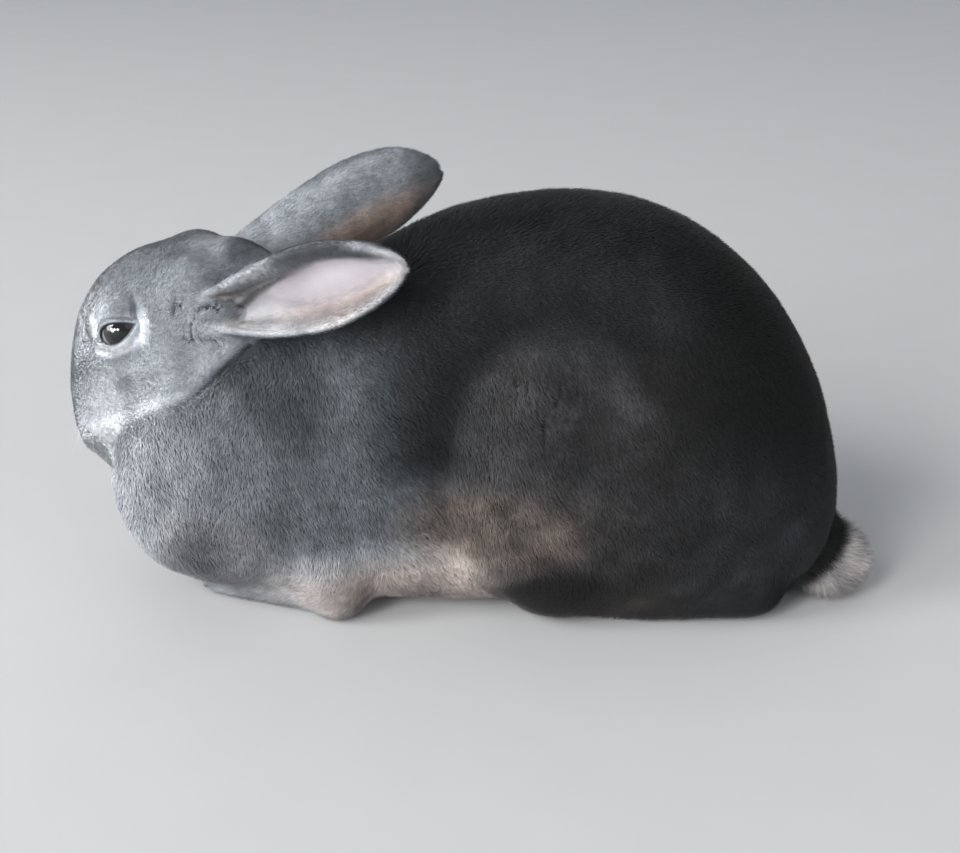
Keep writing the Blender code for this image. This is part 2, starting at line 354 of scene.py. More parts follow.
refine(lambda points: round_eyes(points, EYE_REACH) | round_nose(points, 16))
refine(lambda points: round_eyes(points, 11 * MM) | round_nose(points, 8))
print("skin:", len(skin.data.vertices), "points,", len(skin.data.polygons), "faces")

# %% [markdown]
# An eyelid is skin that slides over the eyeball. Each point near the eye is moved along its line from the
# eyeball's centre: outside the opening it lies just over the ball, and inside the opening it drops behind it.
# The opening is an almond between two arcs, drawn half closed and tilted as on a resting rabbit. A shallow
# groove above it is the fold of the upper lid, and a short one in front runs on from the corner of the eye.

# %% Lids round the eyes
LID = 0.9 * MM
OPENING_LENGTH = 5.0 * MM
UPPER_ARC, LOWER_ARC = 3.2 * MM, 1.9 * MM
OPENING_TILT = math.radians(28)


def eye_axes(side):
    """The eye's outward direction, the way along its opening and the way up across it."""
    out = Vector((0.05, side, 0.02)).normalized()
    along = Vector((math.cos(OPENING_TILT), 0, math.sin(OPENING_TILT)))
    along = (along - out * along.dot(out)).normalized()
    up = out.cross(along) if side == LEFT else along.cross(out)
    up = -up if up.z < 0 else up
    return np.array(out), np.array(along), np.array(up)


def outside_opening(points, side):
    """How far outside the eye's opening a point is, negative inside, and how far along and above it."""
    out, along, up = eye_axes(side)
    aim = unit(points - eyes_at[side]) * EYE_RADIUS
    across, tall = aim @ along, aim @ up
    share = across / OPENING_LENGTH
    bow = np.clip(1 - share**2, 0, 1) ** 0.7
    upper = UPPER_ARC * bow * (1 - 0.42 * share)
    lower = -LOWER_ARC * bow * (1 - 0.35 * share)
    past = np.where(tall > 0, tall - upper, lower - tall)
    ends = np.abs(across) - OPENING_LENGTH
    past = np.where(ends > 0, np.hypot(ends, tall), past)
    past = np.where(aim @ out > 0, past, 9 * MM)
    return past, across, tall


def shape_lids(points):
    for side, place in eyes_at.items():
        past, across, tall = outside_opening(points, side)
        away = np.linalg.norm(points - place, axis=1)
        lid = EYE_RADIUS + LID * (0.55 + 0.45 * (1 - np.exp(-np.clip(past, 0, None) / (0.5 * MM))))
        lid -= 0.35 * MM * bell(past - 1.9 * MM, 0.45 * MM) * (tall > 0)
        lid -= 0.5 * MM * bell(tall, 0.5 * MM) * rise(-across, 5.2 * MM, 6.5 * MM) * (past < 3 * MM)
        wanted = mix(lid, EYE_RADIUS - 1.6 * MM, 1 - rise(past, -0.45 * MM, 0.2 * MM))
        held = fall(past, 1.6 * MM, 5.5 * MM) * (away < 14 * MM)
        points = place + (points - place) * (mix(away, wanted, held) / away)[:, None]
    return points


# %% [markdown]
# The nostrils, the split of the upper lip and the mouth are grooves, and so is the fold where the jaw rests on
# the chest. Each is a line of corners drawn flat, from the front or from the side, and the skin near the line
# is pressed in along its own normal. A broad, shallow valley in front of the haunch sets the thigh apart.


# %% Nostrils, lip, mouth, jaw and haunch
def flat_distance(places, line):
    """The distance of flat places, in millimetres, from a line through several corners."""
    best = np.full(len(places), 999.0)
    for start, end in zip(line, line[1:]):
        start, way = np.array(start), np.subtract(end, start)
        share = np.clip((places - start) @ way / (way @ way), 0, 1)
        best = np.minimum(best, np.linalg.norm(places - start - share[:, None] * way, axis=1))
    return best


NOSTRIL = ((1.7, 62.3), (2.6, 64.6), (4.3, 66.0))
LIP_SPLIT = ((0, 63.2), (0, 55))
MOUTH = ((-124, 54), (-121, 54.6), (-118.5, 56))
VALLEY = ((-11, 34), (-11, 48), (-9, 66), (-3, 84), (9, 95.5), (27, 100.5), (46, 99))
JAW_REACH = 68
WHISKER_PAD = ((26, 10), (22, 5), (19, -1))


def press_grooves(points, normals):
    x, y, z = points.T / MM
    s, t, _ = on_head(points)
    front, side, profile = np.abs(np.stack([y, z], 1)), np.stack([x, z], 1), np.stack([s, t], 1)
    face = 1 - rise(x, -114, -108)
    jaw = [corner for corner in JAW_LINE if corner[0] < JAW_REACH]
    pressed = 1.5 * face * bell(flat_distance(front, NOSTRIL), 0.75)
    pressed = np.maximum(pressed, face * bell(flat_distance(front, LIP_SPLIT), 0.6))
    pressed = np.maximum(pressed, 0.5 * bell(flat_distance(side, MOUTH), 0.6))
    fold = (0.9 + 1.7 * rise(s, 32, 50)) * bell(flat_distance(profile, jaw), 1.5) * (x < -55)
    pressed = np.maximum(pressed, fold)
    pressed += 3.6 * bell(flat_distance(side, VALLEY), 8) * rise(np.abs(y), 14, 24)
    return points - normals * pressed[:, None] * MM


# %% [markdown]
# An ear is described along its own axes too. `u` runs from root to tip, and `v` runs from the upper rim, at -1,
# round the hollow to the lower rim, at 1. Both rims are thick and roll over the hollow, the upper one more.

# %% The ears' own axes
EAR_ROOT = (-76.75, 14, 96)
EAR_TIPS = {LEFT: (-19.75, -42, 119), RIGHT: (-11.25, 40, 124)}
EAR_OPENS = (0.16, 0.92, 0.36)
EAR_HALF_WIDTH = {LEFT: 15 * MM, RIGHT: 18.5 * MM}
EAR_WIDEST = {LEFT: 0.42, RIGHT: 0.6}


def ear_axes(side):
    root = np.array((EAR_ROOT[0], EAR_ROOT[1] * side, EAR_ROOT[2])) * MM
    axis = np.array(EAR_TIPS[side]) * MM - root
    length = np.linalg.norm(axis)
    axis /= length
    opens = np.array((EAR_OPENS[0], EAR_OPENS[1] * side, EAR_OPENS[2]))
    opens -= axis * (opens @ axis)
    opens /= np.linalg.norm(opens)
    down = np.cross(axis, opens)
    return root, axis, opens, down if down[2] < 0 else -down, length


def on_ear(points, normals):
    """u, v and, from 0 to 1, how far a point is on the hollow's side, for the ear on its own side."""
    found = {}
    for side in (LEFT, RIGHT):
        root, axis, opens, down, length = ear_axes(side)
        from_root = points - root
        u = from_root @ axis / length
        kept = np.clip(u, 0, 1)
        widest = EAR_WIDEST[side]
        leaf = np.sqrt(np.clip(1 - ((kept - widest) / (1 - widest)).clip(0) ** 2, 0.01, 1))
        leaf *= 0.66 + 0.34 * np.sin(np.pi * np.clip(kept / widest, 0, 1) / 2)
        roll = np.radians(138 - 88 * np.clip(kept / 0.62, 0, 1) ** 0.8)
        radius = EAR_HALF_WIDTH[side] * leaf / roll
        across = from_root @ down
        up_to_middle = radius - 3 * MM * np.sin(np.pi * kept) - from_root @ opens
        v = np.arctan2(across, up_to_middle) / roll
        inside = (normals @ opens) * up_to_middle - (normals @ down) * across
        inside /= np.maximum(np.hypot(up_to_middle, across), 0.1 * MM)
        found[side] = np.stack([u, v, rise(inside, -0.25, 0.25)])
    return np.where(points[:, 1] < 0, found[LEFT], found[RIGHT])


def roll_rims(points, normals, near):
    u, v, inside = on_ear(points, normals)
    rolled = 1.7 * bell(v + 0.80, 0.2) + 0.7 * bell(v - 0.72, 0.22)
    rolled *= near["ear"] * inside * rise(u, 0.05, 0.2) * fall(u, 0.82, 0.97)
    return points + normals * rolled[:, None] * MM


spots = points_of(skin.data)
near = reach_of(spots)
spots = roll_rims(spots, normals_of(skin.data), near)
spots = press_grooves(spots, normals_of(skin.data))
spots = shape_lids(spots)
move_points(skin.data, spots)
skin.data.shade_smooth()
print("face and ears sculpted")

# %% [markdown]
# Hairs gather in small locks, which gives fur its grain. Each lock has a middle, at a random spot in its cell
# of a grid, and a tuft belongs to the nearest middle and leans a little towards it. Where two stretched locks
# meet on cheek and haunch, the coat parts in a short crack, because it bends there. Its tufts are shorter, and
# its darkness is painted shade.


# %% Locks, and the cracks between them
def locks(points, size, seed):
    """For each point a random value of its lock, the lock's middle, and the distance to the next lock."""
    cell = np.floor(points / size).astype(np.int64)
    nearest, second = np.full(len(points), 9.0), np.full(len(points), 9.0)
    middle, value = np.zeros_like(points), np.zeros(len(points))
    for step in np.ndindex(3, 3, 3):
        there = cell + np.array(step) - 1
        key = (there * (73856093, 19349663, 83492791)).sum(1) + seed * 7919
        jitter = []
        for number in (1, 2, 3):
            mixed = (key * 2654435761 + number * 40503) & 0xFFFFFFFF
            mixed = ((mixed ^ (mixed >> 15)) * 2246822519) & 0xFFFFFFFF
            mixed = ((mixed ^ (mixed >> 13)) * 3266489917) & 0xFFFFFFFF
            jitter.append((mixed ^ (mixed >> 16)) / 0xFFFFFFFF)
        spot = (there + np.stack(jitter, 1)) * size
        away = np.linalg.norm(points - spot, axis=1) / size
        closer = away < nearest
        second = np.where(closer, nearest, np.minimum(second, away))
        nearest = np.where(closer, away, nearest)
        middle[closer] = spot[closer]
        value[closer] = jitter[0][closer]
    return value, middle, (second - nearest) * size


def patch(across, up, middle, radii, soft=0.5):
    """1 in the middle of a rounded patch and 0 outside it, in any two flat coordinates."""
    away = np.hypot((across - middle[0]) / radii[0], (up - middle[1]) / radii[1])
    return 1 - rise(away, 1 - soft, 1 + soft)


def cracks(points, near):
    """1 in the cracks of the coat on cheek and haunch."""
    x, y, z = points.T / MM
    s, t, _ = on_head(points)
    cheek = near["head"] * (1 - near["ear"]) * patch(s, t, (62, -12), (7, 9), 0.3)
    haunch = 0.8 * patch(x, z, (16, 77), (12, 10), 0.3) * rise(np.abs(y), 20, 26)
    stretched = points * (1, 0.3, 0.34)
    gap = locks(stretched, 2.8 * MM, 3)[2] / MM
    some = rise(waves(points * (1, 1, 0.45), 4 * MM, 31), -0.15, 0.15)
    return fall(gap, 0.12, 0.36) * np.maximum(cheek, haunch) * some


# %% [markdown]
# The markings are soft patches that change one number, the tone, from 0 for black to 1 for white. Three more
# numbers say how warm the colour is, how much bare pink skin shows, and how strongly single hairs are ticked
# dark and light. Skin and coat take them from the same function, so they always agree. Everything is the same
# on both sides of the rabbit. A few patches of the tone are painted shade and light over the coat's own colour:
# shadow under the jaw, on the flank and under the belly, shade in the ear's crease, the lid's fold and the
# coat's cracks, and light along the face's profile.


# %% Tone and warmth of the body, and tone of the head
def body_colour(x, y, z, near):
    """Tone and warmth of trunk, neck and legs."""
    side = rise(np.abs(y), 12, 26)

    def at(middle, radii, soft=0.5):
        return patch(x, z, middle, radii, soft)

    tone = painted(
        np.full(len(x), 0.37),
        (0.54, fall(z, 14, 54) * fall(x, -32, -5)),
        (0.41, at((-44, 46), (22, 16))),
        (0.265, at((-58, 82), (13, 15))),
        (0.68, 1 - rise(x, -110, -68)),
        (0.39, at((-79, 22), (16, 14))),
        (0.10, rise(z, 84, 108) * rise(x, -66, -34)),
        (0.06, at((14, 106), (44, 12))),
        # Dark back and upper flank behind the shoulder: the dark coat, with painted shadow where it shows as a
        # band between shoulder and haunch.
        (0.095, rise(x, -42, -14) * rise(z, 42, 62)),
        (0.15, rise(x, -13, 6) * fall(z, 40, 60)),
        (0.18, at((21, 68), (29, 27), 0.18) * side),
        (0.145, at((36, 62), (13, 12)) * side),
        (0.01, rise(x, 40, 76)),
        (0.145, at((70, 34), (34, 28)) * side),
        (0.32, at((6, 40), (24, 14)) * side),
        (0.65, at((-22, 13), (32, 18), 0.35)),
        (0.59, at((-45, 14), (12, 12))),
        # Near black low on the hind foot under the belly: the foot's dark coat, with painted shadow from the
        # belly.
        (0.02, at((25, 14), (20, 10.5), 0.35)),
    )
    warm = painted(
        0.42 * rise(x, -12, 4) * rise(z, 12, 30) * fall(z, 88, 100) * fall(x, 56, 80),
        (1.0, at((6, 38), (28, 15)) * side),
        (0.65, at((-12, 12), (50, 14))),
        (1.0, at((30, 10), (34, 14)) * near["hind"]),
        (0.25, at((-79, 24), (18, 16))),
    )
    return tone, warm


HEAD_MARKS = (
    (0.52, (60, 10), (15, 6.5)), (0.67, (79, 0), (9, 7)), (0.74, (36, 13), (14, 4)), (0.40, (82, -9), (5, 4)),
    (0.70, (38, -10), (13, 6)), (0.79, (16, -3), (16, 7)), (0.68, (12, 4), (8, 4)), (0.74, (26, 13), (15, 4.5)),
    (0.60, (29.8, 5.4), (2.8, 2)), (0.60, (30.4, -5), (3.6, 3.2)),
)


def head_tone(s, t, above):
    marks = ((shade, patch(s, t, middle, radii)) for shade, middle, radii in HEAD_MARKS)
    # The pale bridge of the nose, with painted light along the face's profile that lifts the shade of the
    # edge-on tufts there.
    pale_bridge_and_lit_profile = 0.6 * rise(t, 13, 16.5) * fall(s, 36, 50)
    tone = painted(np.full(len(s), 0.56), *marks, (0.84, pale_bridge_and_lit_profile))
    tone *= 1 - 0.08 * bell(flat_distance(np.stack([s, t], 1), WHISKER_PAD), 0.8)
    band = np.interp(s, (0, 18, 27, 35, 46), (6.5, 4.8, 3.6, 4.2, 2.0))
    on_jaw = rise(above, -0.4, 0.3)
    jaw = on_jaw * fall(above, band - 1.4, band + 1) * fall(s, 34, 52)
    chin = patch(s, t, (4, -10.5), (14, 7), 0.3) * on_jaw
    return painted(tone, (0.93, 0.56 * jaw), (1.0, chin))


# %% Marks of the ears and round the eyes
EAR_FRINGE = ((0.30, -0.64), (0.22, 0.26))
# The line of the painted shade in the ear's crease, in millimetres along and across the ear.
EAR_SHADE_CREASE = ((8, 1.4), (15, -3.0), (25, -6.5))
U_TO_MM, V_TO_MM = 63, 14
WEDGE = ((-111.3, 94.2), (-110.2, 91.2), (-110.4, 87.2))
CRESCENT = (
    (-110.8, 83.9), (-107.8, 84.5), (-105.4, 85.4), (-102.8, 86.6), (-100.6, 88.5), (-98.3, 89.4),
    (-96.4, 91.1), (-95.1, 93.7), (-94.9, 96.6),
)


def ear_marks_and_shade(u, v, inside):
    """Tone, with painted shade in the crease, warmth, pink and how bare it is, on the ears."""
    thin = patch(u, v, (0.60, 0.30), (0.32, 0.42))
    middle = rise(u, 0.36, 0.5) * fall(u, 0.72, 0.84)
    hollow = patch(u, v, (0.60, -0.16), (0.37, 0.54))
    beige = patch(u, v, (0.68, 0.36), (0.3, 0.5))
    crease_shade_distance = flat_distance(np.stack([u * U_TO_MM, v * V_TO_MM], 1), EAR_SHADE_CREASE)
    back = painted(
        np.full(len(u), 0.62),
        (0.38, rise(u, 0.76, 1.0)),
        (0.80, thin),
        (0.44, fall(v, -0.97, -0.78) * middle),
    )
    front = painted(
        np.full(len(u), 0.56),
        (0.84, patch(u, v, (0.56, -0.32), (0.24, 0.32))),
        (0.76, patch(u, v, (0.27, 0.62), (0.2, 0.42))),
        (0.25, fall(v, -0.92, -0.76) * middle),
        (0.95, patch(u, v, *EAR_FRINGE)),
        (0.70, np.maximum(rise(v, 0.84, 0.95), rise(u, 0.84, 0.95))),
        # Painted shade in the crease beside the fringe of the upper rim.
        (0.12, 0.9 * fall(crease_shade_distance, 0.3, 2.2)),
    )
    fur_pink = (0.55 - 0.25 * beige) * rise(v, -0.9, -0.6) * fall(v, 0.7, 0.95)
    fur_pink *= 1 - 0.7 * middle * fall(v, -0.9, -0.7)
    pink = np.maximum(hollow, fur_pink) * rise(u, 0.12, 0.3)
    warm = mix(thin, 0.12 + 0.25 * fall(u, 0.1, 0.26) + 0.6 * beige, inside)
    return mix(back, front, inside), warm, mix(0.3 * thin, pink, inside), hollow * inside


def round_the_eye(points, tone):
    """The pale ring, crescent and wedge, painted shade in the fold of the upper lid, and the dark rims."""
    seen = points[:, ::2] / MM
    for side in eyes_at:
        past, across, tall = (field / MM for field in outside_opening(points, side))
        close = by_eye(points, side)
        below = 1 - rise(tall, -0.5, 2.5)
        pale = mix(0.93, 0.85, rise(seen[:, 0], -104, -98))
        rim = 0.10 + 0.32 * (1 - below)
        black = fall(past, rim - 0.1, rim + 0.15) * (1 - 0.6 * below * rise(across, -1, 1))
        tone = painted(
            tone,
            (0.74 + 0.12 * below, fall(past, 1.6 + 0.6 * below, 3.0 + 0.8 * below) * close),
            (pale, fall(flat_distance(seen, CRESCENT), 0.4, 2.5) * close),
            (0.95, fall(flat_distance(seen, WEDGE), 0.6, 2.1) * close),
            # Painted shade in the fold of the upper lid.
            (0.50, 0.8 * bell(past - 1.3, 0.6) * rise(tall, 0.3, 1.2) * close),
            (0.42, fall(past, rim + 0.1, rim + 0.5) * close),
            (0.10, black * close),
        )
    return tone


# %% All the markings together
def markings_with_painted_light(points, normals, near):
    """Tone, with its painted light and shade, warmth, pink and ticking at each point, each from 0 to 1."""
    x, y, z = points.T / MM
    s, t, _ = on_head(points)
    above = above_jaw(points)
    head, ear, tail = near["head"] * (1 - near["ear"]), near["ear"], near["tail"]
    tone, warm = body_colour(x, y, z, near)
    # Painted shade: a soft shadow on the neck under the back of the jaw, and a thin dark line in the crease
    # where the jaw rests on the chest.
    neck_shadow = bell(above + 2.6, 2.4) * rise(s, 44, 60) * fall(s, 74, 84)
    line = bell(above + 0.4, 0.45) * rise(s, 32, 44) * fall(s, 68, 76)
    tone = painted(tone, (0.18, 0.6 * neck_shadow), (0.07, 0.8 * line), (head_tone(s, t, above), head))
    outer = rise((x - 111) + 0.9 * (12 - z), -9.5, -3.5)
    tone = mix(round_the_eye(points, tone), mix(0.07, 0.74, outer), tail)
    warm = mix(warm * (1 - head), 0.36, tail)
    ear_tone, ear_warm, pink, hollow = ear_marks_and_shade(*on_ear(points, normals))
    tone, warm, pink = mix(tone, ear_tone, ear), mix(warm, ear_warm, ear), pink * ear
    ticking = 0.30 + 0.04 * head + 0.05 * ear * (1 - hollow) - 0.2 * ear * hollow
    streaks = waves(points * (1, 1, 0.45), 9 * MM, 5)
    mottle = 0.09 * streaks + 0.06 * waves(points, 3.5 * MM, 6) + 0.09 * waves(points, 22 * MM, 7)
    tone *= 1 + mottle * (1 - 0.5 * head)
    tone *= 1 + 0.22 * waves(points, 10 * MM, 8) * rise(x, -14, 8)
    # Painted shade in the cracks of the coat.
    tone *= 1 - 0.8 * cracks(points, near)
    return np.clip(np.stack([tone, warm, pink, ticking], 1), 0, 1)


def give_colours(mesh, name, values):
    attribute = mesh.color_attributes.new(name, "FLOAT_COLOR", "POINT")
    attribute.data.foreach_set("color", values.astype(np.float32).ravel())


spots, normals = points_of(skin.data), normals_of(skin.data)
near = reach_of(spots)
give_colours(skin.data, "coat", markings_with_painted_light(spots, normals, near))
give_colours(skin.data, "hair", np.tile((0.6, 0.5, 0.5, 1.0), (len(spots), 1)))
print("markings painted")

# %% [markdown]
# Fur has a lie. On the head it runs back from the nose, on the body back and down, on the legs down and out
# over the toes, and on the ears to their tips. The rough arrows are laid along the skin and smoothed from
# point to point, so the lie turns without a seam.


# %% The lie of the coat
def ear_way(points, normals):
    """To the ear's tip, and on the rolled upper rim down over the hollow."""
    axes = {side: ear_axes(side) for side in (LEFT, RIGHT)}
    to_tip, down = (np.where(points[:, 1:2] < 0, axes[LEFT][k], axes[RIGHT][k]) for k in (1, 3))
    _, v, inside = on_ear(points, normals)
    return mix(to_tip, 0.5 * to_tip + down, inside * fall(v, -0.42, -0.26))


def lie_of_coat(points, normals, near, edges):
    way = np.tile((1.0, 0, -0.3), (len(points), 1))
    way[:, 2] -= 0.8 * fall(points[:, 0], -100 * MM, -60 * MM)
    low = 1 - rise(points[:, 2], 12 * MM, 26 * MM)
    way = painted(
        way,
        ((0.6, 0, -0.8), near["hind"]),
        ((0.3, 0, -1.0), near["fore"]),
        ((-1.0, 0, -0.1), np.maximum(near["hind"], near["fore"]) * low),
        ((0.7, -0.4, -0.1), near["tail"]),
        (HEAD_BACK - 0.25 * HEAD_UP, near["head"]),
        (ear_way(points, normals), near["ear"]),
    )
    count = np.bincount(edges.ravel(), minlength=len(points))[:, None] + 1
    for _ in range(20):
        total = way.copy()
        for axis in range(3):
            for a, b in ((0, 1), (1, 0)):
                total[:, axis] += np.bincount(edges[:, a], way[edges[:, b], axis], len(points))
        way = total / count
        way -= normals * (way * normals).sum(1, keepdims=True)
    return unit(way)


lie = lie_of_coat(spots, normals, near, read(skin.data.edges, "vertices", 2, np.int32))
print("lie of the coat found")

# %% [markdown]
# Each tuft is a slim three-sided blade. The roots are spread over the skin by area, so that each face gets as
# many as its size and the coat's density ask for. How long, wide and upright a tuft is comes from fields
# again: long on the tail, on the body and on the fringe of an ear's upper rim, short on face and ears.


# %% How the coat grows on each part
def coat_plan(points, normals, near):
    """Per point: tufts for each square millimetre, then length, width (metres) and lean (radians)."""
    s, t, _ = on_head(points)
    head = near["head"] * (1 - near["ear"])
    under = fall(normals[:, 2], -0.95, -0.8) * fall(points[:, 2], 6 * MM, 12 * MM)
    u, v, inside = on_ear(points, normals)
    front = near["ear"] * inside
    eyes = np.zeros(len(points))
    for side in eyes_at:
        outside = rise(outside_opening(points, side)[0], 2 * MM, 6 * MM)
        eyes = np.maximum(eyes, by_eye(points, side) * (1 - outside))
    plan = np.zeros((len(points), 4))
    for share, (density, length, width, lean) in (
        (np.ones(len(points)), (5.6, 2.6, 0.46, 61)),
        (on_feet(points, near), (6.0, 2.2, 0.42, 61)),
        (near["tail"], (15, 5.4, 0.26, 40)),
        (head, (9.2, 1.4, 0.36, 63)),
        (head * fall(s, 6, 24), (12, 1.05, 0.30, 63)),
        (head * patch(s, t, (4, -11), (9, 5)), (11, 2.2, 0.30, 55)),
        (eyes, (14, 0.95, 0.26, 64)),
        (near["ear"], (9.2, 1.2, 0.30, 64)),
        (front * patch(u, v, *EAR_FRINGE), (11, 3.6, 0.28, 48)),
        (under, (1.5, 2.6, 0.8, 64)),
    ):
        plan = mix(plan, (density, length * MM, width * MM, math.radians(lean)), share)
    plan[:, 1] *= 1 - 0.5 * front * patch(u, v, (0.55, 0), (0.5, 0.62), 0.4)
    return plan


def bare(points, normals, near):
    """1 where no tuft grows: in the eyes' openings, on their rims, and in the hollows of the ears."""
    found = ear_marks_and_shade(*on_ear(points, normals))[3] * near["ear"]
    for side in eyes_at:
        past, _, tall = outside_opening(points, side)
        edge = 0.4 * MM + 0.4 * MM * rise(tall, -0.5 * MM, 2 * MM)
        found = np.maximum(found, by_eye(points, side) * fall(past - edge, -0.1 * MM, 0.2 * MM))
    return rise(found, 0.72, 0.9)


# %% Scatter the roots
skin.data.calc_loop_triangles()
corners = read(skin.data.loop_triangles, "vertices", 3, np.int32)
loops = read(skin.data.loop_triangles, "loops", 3, np.int32)
plan = coat_plan(spots, normals, near)
plan[:, 0] *= 1 - bare(spots, normals, near)

dice = np.random.default_rng(11)
a, b, c = (spots[corners[:, k]] for k in range(3))
areas = np.linalg.norm(np.cross(b - a, c - a), axis=1) / 2 / MM**2
wanted = areas * plan[corners, 0].mean(1)
counts = np.floor(wanted + dice.random(len(wanted))).astype(int)
face = np.repeat(np.arange(len(corners)), counts)
share = dice.dirichlet((1, 1, 1), len(face))


def at_roots(field):
    """A field of the skin's points, read at the roots of the tufts."""
    picked = field[corners[face]]
    return (picked * (share if field.ndim == 1 else share[:, :, None])).sum(1)


roots = at_roots(spots)
print(len(roots), "tufts on", round(areas.sum()), "square millimetres of skin")

# %% [markdown]
# A tuft leans along the lie, stirred by slow waves and by chance. The tail's hair is looser: its tufts differ
# more in length and gather into locks. No tip may go below the floor.

# %% Grow the tufts
LOCK_SIZE = 1.5 * MM
ROOT_DEPTH = 0.25 * MM
LOWEST_TIP, LOWEST_ROOT = 0.25 * MM, 0.2 * MM
BLADE_WIDTH, BLADE_THICKNESS = 0.6, 0.18

root_normals = unit(at_roots(normals))
root_lie = unit(at_roots(lie))
root_near = {part: at_roots(field) for part, field in near.items()}
_, length, width, lean = at_roots(plan).T
lock_random, lock_middle, _ = locks(roots, LOCK_SIZE, 1)
tail = root_near["tail"]

to_middle = lock_middle - roots
to_middle -= root_normals * (to_middle * root_normals).sum(1, keepdims=True)
stir = 0.22 * waves(roots, 18 * MM, 21) + 0.08 * waves(roots, 6 * MM, 22)
lean = lean + np.radians(3) * waves(roots, 12 * MM, 23) + dice.normal(0, math.radians(5), len(roots))
turned = (stir + dice.normal(0, 0.32 + 0.25 * tail))[:, None]
way = unit(root_lie + np.cross(root_normals, root_lie) * turned)
rising = root_normals * np.cos(lean)[:, None] + way * np.sin(lean)[:, None]
length = length * dice.uniform(0.85 - 0.4 * tail, 1.1 + 0.1 * tail) * (1 - 0.6 * cracks(roots, root_near))
pull = (0.08 + 0.4 * tail) * np.clip(length / (4 * MM), 0.3, 1)
tips = roots + rising * length[:, None] + to_middle * pull[:, None]
tips[:, 2] = np.maximum(tips[:, 2], LOWEST_TIP)

# %% The three corners of each root
rising = unit(tips - roots)
across = unit(np.cross(rising, root_normals))
other = np.cross(rising, across)
turn = dice.uniform(0, 2 * np.pi, len(roots))
base = roots - root_normals * ROOT_DEPTH
ring = []
for k in range(3):
    angle = (turn + k * 2 * np.pi / 3)[:, None]
    offset = across * np.cos(angle) * BLADE_WIDTH + other * np.sin(angle) * BLADE_THICKNESS
    ring.append(base + offset * width[:, None])
tuft_points = np.stack([*ring, tips], 1)
tuft_points[:, :, 2] = np.maximum(tuft_points[:, :, 2], LOWEST_ROOT)

# %% [markdown]
# The coat gets a UV map for baking its colour, in which each tuft is a small patch at its root's place on an
# unwrap of the skin. Smart UV Project unwraps the skin by its own shape, and each root reads its place there
# from the corners of the face that it stands on.

# %% Unwrap the skin
bpy.context.view_layer.objects.active = skin
skin.select_set(True)
bpy.ops.object.mode_set(mode="EDIT")
bpy.ops.mesh.select_all(action="SELECT")
bpy.ops.uv.smart_project(angle_limit=math.radians(66), island_margin=0.002)
bpy.ops.object.mode_set(mode="OBJECT")
unwrap = read(skin.data.uv_layers.active.uv, "vector", 2)
root_uv = (unwrap[loops[face]] * share[:, :, None]).sum(1)
skin.data.uv_layers.active.name = "OFBake"
print("skin unwrapped")

# %% Join the tufts into coat pieces
UV_PATCH = np.array(((-1, -0.6), (1, -0.6), (0, 1.1), (0, 0.1))) * 0.0015
TUFT_FACES = np.array(((0, 1, 3), (1, 2, 3), (2, 0, 3)))
root_markings_with_painted_light = markings_with_painted_light(roots, root_normals, root_near)
hair_random = dice.random(len(roots))
soft_normals = unit(root_normals + rising * 0.05)


def coat_piece(name, chosen):
    """One joined mesh of the chosen tufts, with its colours, its bake map and soft normals."""
    rows = np.flatnonzero(chosen)
    triangles = (np.arange(len(rows))[:, None, None] * 4 + TUFT_FACES).reshape(-1, 3)
    mesh = bpy.data.meshes.new(name)
    mesh.vertices.add(4 * len(rows))
    mesh.vertices.foreach_set("co", tuft_points[rows].astype(np.float32).ravel())
    mesh.loops.add(triangles.size)
    mesh.loops.foreach_set("vertex_index", triangles.astype(np.int32).ravel())
    mesh.polygons.add(len(triangles))
    mesh.polygons.foreach_set("loop_start", np.arange(0, triangles.size, 3, dtype=np.int32))
    mesh.update(calc_edges=True)
    hair = np.ones((len(rows), 4, 4))
    hair[:, :, 0] = (0, 0, 0, 1)
    hair[:, :, 1] = lock_random[rows, None]
    hair[:, :, 2] = hair_random[rows, None]
    give_colours(mesh, "coat", np.repeat(root_markings_with_painted_light[rows], 4, axis=0))
    give_colours(mesh, "hair", hair.reshape(-1, 4))
    layer = mesh.uv_layers.new(name="OFBake")
    places = (root_uv[rows, None] + UV_PATCH).reshape(-1, 2)[triangles.ravel()]
    layer.uv.foreach_set("vector", places.astype(np.float32).ravel())
    mesh.shade_smooth()
    mesh.normals_split_custom_set_from_vertices(np.repeat(soft_normals[rows], 4, axis=0).astype(np.float32))
    return put(name, mesh)


def coat_regions():
    """Which tufts go to which piece, each well under 200,000 triangles."""
    x, y, z = roots.T / MM
    owner = np.full(len(roots), "rump", dtype="U10")
    for band, end in (("back", 60), ("flank", 0), ("chest", -60)):
        owner[x < end] = band
    for part in ("hind", "fore", "tail", "head", "ear"):
        owner[root_near[part] > 0.5] = part
    owner[(owner == "hind") & (z < 30)] = "foot"
    found = {}
    for part in ("ear", "head", "fore", "hind", "foot", "tail", "chest", "flank", "back", "rump"):
        if part == "tail":
            found["coat_tail"] = owner == part
            continue
        found[f"coat_{part}_left"] = (owner == part) & (y < 0)
        found[f"coat_{part}_right"] = (owner == part) & (y >= 0)
    return found


coat = []
for name, chosen in coat_regions().items():
    coat.append(coat_piece(name, chosen))
    print(name, 3 * int(chosen.sum()), "triangles")

# %% [markdown]
# One node group turns the markings into a colour, for skin and coat alike. The tone runs through a ramp of
# cold greys. Ticking makes single tufts and locks darker or lighter, and every hair is darker at its root.


# %% Helpers for shader nodes
def feed(tree, node, inputs):
    """Gives inputs of a node their numbers or colours, or links them to outputs of other nodes."""
    for name, value in inputs.items():
        if isinstance(value, bpy.types.NodeSocket):
            tree.links.new(value, node.inputs[name])
        else:
            node.inputs[name].default_value = value


